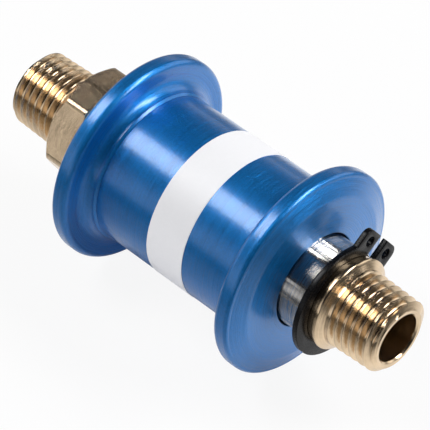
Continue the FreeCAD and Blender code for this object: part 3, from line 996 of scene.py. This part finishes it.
class VALVE_OT_label(bpy.types.Operator):
    """White label wrapped round the barrel"""

    bl_idname = "valve.label"
    bl_label = "Label"

    def execute(self, context):
        inner, outer = BARREL_HIGH.z + LABEL_GAP, LABEL_HIGH.z
        low, high = LABEL_LOW.x, LABEL_HIGH.x
        points = [(low, inner), (low, outer, 0.02), (high, outer, 0.02), (high, inner)]
        finish_mesh(turned(points), "label_white", "label_band", finish_of(white_film))
        return {"FINISHED"}


class VALVE_OT_inner_pieces(bpy.types.Operator):
    """Plug, seals and guide bands inside the valve"""

    bl_idname = "valve.inner_pieces"
    bl_label = "Inner pieces"

    def execute(self, context):
        smooth_copy("centre_plug", "centre_plug_brass", finish_of(turned_brass))
        for node in frame["nodes"]:
            if "seal" in node:
                smooth_copy(node, node + "_rubber", finish_of(moulded_rubber))
            elif "guide" in node:
                smooth_copy(node, node + "_plastic", finish_of(cut_plastic))
        return {"FINISHED"}


def studio_floor():
    """White to the camera, and it keeps the valve's shadow. In reflections it glows pale beside
    the valve, with painted shade that dims that glow far from the valve and towards the front.

    The distances are in metres from the point below the middle of the valve.
    """
    colour = settings().stage.floor
    finish = Finish("studio_floor")
    rays = finish.node("ShaderNodeLightPath").socket.node.outputs
    camera = Field(finish, rays["Is Camera Ray"])
    mirrored = Field(finish, rays["Is Glossy Ray"])
    mirrored = mirrored.maths("MAXIMUM", mirrored, Field(finish, rays["Is Transmission Ray"]))
    finish.surface(Base_Color=tuple(colour), Roughness=0.9, Specular_IOR_Level=0.0)
    distance = (finish.x * finish.x + finish.y * finish.y) ** 0.5
    # Painted shade in reflections: the glow that glossy rays see is dimmed far from the valve and
    # towards the front.
    far = finish.between(distance, 0.05, 0.13)
    front = finish.between(0.0 - finish.y, 0.0, 0.035)
    glow = finish.node("ShaderNodeEmission", sockets={
        "Color": (1, 1, 1, 1),
        "Strength": camera + mirrored * (1.0 - 0.85 * far) * (1.0 - 0.65 * front)})
    base = Field(finish, finish.shader.outputs[0])
    beside = finish.between(distance, 0.015, 0.04)
    share = camera * (0.9 + 0.1 * far) + mirrored * beside
    mixed = finish.node("ShaderNodeMixShader", sockets={0: share, 1: base, 2: glow})
    finish.feed(finish.tree.nodes["Material Output"].inputs["Surface"], mixed)
    return finish.material


# Up, tipped towards the back and the outlet, where the studio is darker.
UPWARDS = (0.3, 0.15, 1.0)

FLOOR_RADIUS = 6.0
LAMP_DISTANCE = 0.6

# Name, direction from the valve, angles along and across the valve in degrees, radiance, and
# whether the lamp shows in reflections.
LAMPS = (
    ("key_softbox", (-0.48, -0.28, 0.83), 22, 23, 9.0, True),
    ("back_softbox", (0.60, 0.46, 0.65), 44, 15, 13.0, True),
    ("back_card", (0.35, 0.9, 0.2), 50, 30, 1.2, True),
    ("front_fill", (-0.2, -0.95, 0.25), 60, 40, 0.8, False),
)


def studio_world():
    """A dim studio with a pale horizon at the front and left."""
    stage = settings().stage
    world = bpy.data.worlds.new("studio")
    bpy.context.scene.world = world
    nodes = Nodes(world)
    direction = nodes.node("ShaderNodeTexCoord", output="Generated")
    height = nodes.vector_maths("DOT_PRODUCT", {0: direction, 1: UPWARDS}, output="Value")
    stops = [(0.0, tuple(stage.floor)), (0.12, shade_of(stage.floor, 0.5)),
             (0.3, tuple(stage.ceiling))]
    colour = nodes.node("ShaderNodeValToRGB", {"stops": stops}, {0: height})
    nodes.feed(nodes.tree.nodes["Background"].inputs["Color"], colour)


def softbox(name, direction, along, across, radiance, mirrored):
    """A soft lamp that faces the valve, as long along it and across it as the angles say."""
    aim = Vector(direction).normalized()
    across_aim = aim.cross(Vector((1, 0, 0))).normalized()
    data = bpy.data.lights.new(name, "AREA")
    data.shape = "RECTANGLE"
    data.size = 2 * LAMP_DISTANCE * math.tan(math.radians(along / 2))
    data.size_y = 2 * LAMP_DISTANCE * math.tan(math.radians(across / 2))
    data.energy = radiance * math.pi * data.size * data.size_y
    lamp = bpy.data.objects.new(name, data)
    bpy.context.scene.collection.objects.link(lamp)
    lamp.location = aim * LAMP_DISTANCE
    axes = Matrix((across_aim.cross(aim), across_aim, aim)).transposed()
    lamp.rotation_euler = axes.to_euler()
    lamp.visible_camera = False
    lamp.visible_glossy = mirrored


class VALVE_OT_stage(bpy.types.Operator):
    """Pale floor, soft studio light and the camera"""

    bl_idname = "valve.stage"
    bl_label = "Stage"

    def execute(self, context):
        scene, stage = context.scene, settings().stage
        bm = bmesh.new()
        bmesh.ops.create_circle(bm, cap_ends=True, segments=96, radius=FLOOR_RADIUS)
        bmesh.ops.translate(bm, verts=bm.verts[:], vec=(0, 0, CAD_BOX[0].z))
        mesh = bpy.data.meshes.new("floor")
        bm.to_mesh(mesh)
        bm.free()
        floor = bpy.data.objects.new("floor", mesh)
        scene.collection.objects.link(floor)
        floor.data.materials.append(studio_floor())
        studio_world()
        for lamp in LAMPS:
            softbox(*lamp)
        camera = bpy.data.objects.new("camera", bpy.data.cameras.new("camera"))
        camera.data.lens = stage.lens
        camera.data.sensor_width = 36.0
        scene.collection.objects.link(camera)
        flat = math.cos(stage.elevation)
        back = Vector((math.sin(stage.azimuth) * flat, -math.cos(stage.azimuth) * flat,
                       math.sin(stage.elevation)))
        camera.location = Vector(stage.target) + back * stage.distance
        camera.rotation_euler = back.to_track_quat("Z", "Y").to_euler()
        scene.camera = camera
        scene.view_settings.view_transform = "Standard"
        return {"FINISHED"}


OPERATORS = (
    VALVE_OT_inlet_fitting,
    VALVE_OT_outlet_fitting,
    VALVE_OT_stem_tube,
    VALVE_OT_retaining_ring,
    VALVE_OT_sleeve_barrel,
    VALVE_OT_finger_flanges,
    VALVE_OT_label,
    VALVE_OT_inner_pieces,
    VALVE_OT_stage,
)


class VALVE_PT_pieces(bpy.types.Panel):
    """Lists the pieces of the valve"""

    bl_idname = "VALVE_PT_pieces"
    bl_label = "Slide valve"
    bl_space_type = "VIEW_3D"
    bl_region_type = "UI"
    bl_category = "Slide Valve"

    def draw(self, context):
        for operator in OPERATORS:
            self.layout.operator(operator.bl_idname)
        groups = context.scene.slide_valve
        for name in groups.bl_rna.properties.keys():
            group = getattr(groups, name, None)
            if isinstance(group, bpy.types.PropertyGroup):
                column = self.layout.column()
                for size in type(group).__annotations__:
                    column.prop(group, size)


CLASSES = (
    ThreadSizes, FittingSizes, SleeveSizes, FinishColours, StageSettings, SlideValveSettings,
    *OPERATORS, VALVE_PT_pieces,
)


def register():
    for item in CLASSES:
        bpy.utils.register_class(item)
    bpy.types.Scene.slide_valve = PointerProperty(type=SlideValveSettings)


def unregister():
    del bpy.types.Scene.slide_valve
    for item in reversed(CLASSES):
        bpy.utils.unregister_class(item)


def main():
    register()
    for operator in OPERATORS:
        group, name = operator.bl_idname.split(".")
        getattr(getattr(bpy.ops, group), name)()


if __name__ == "__main__":
    main()
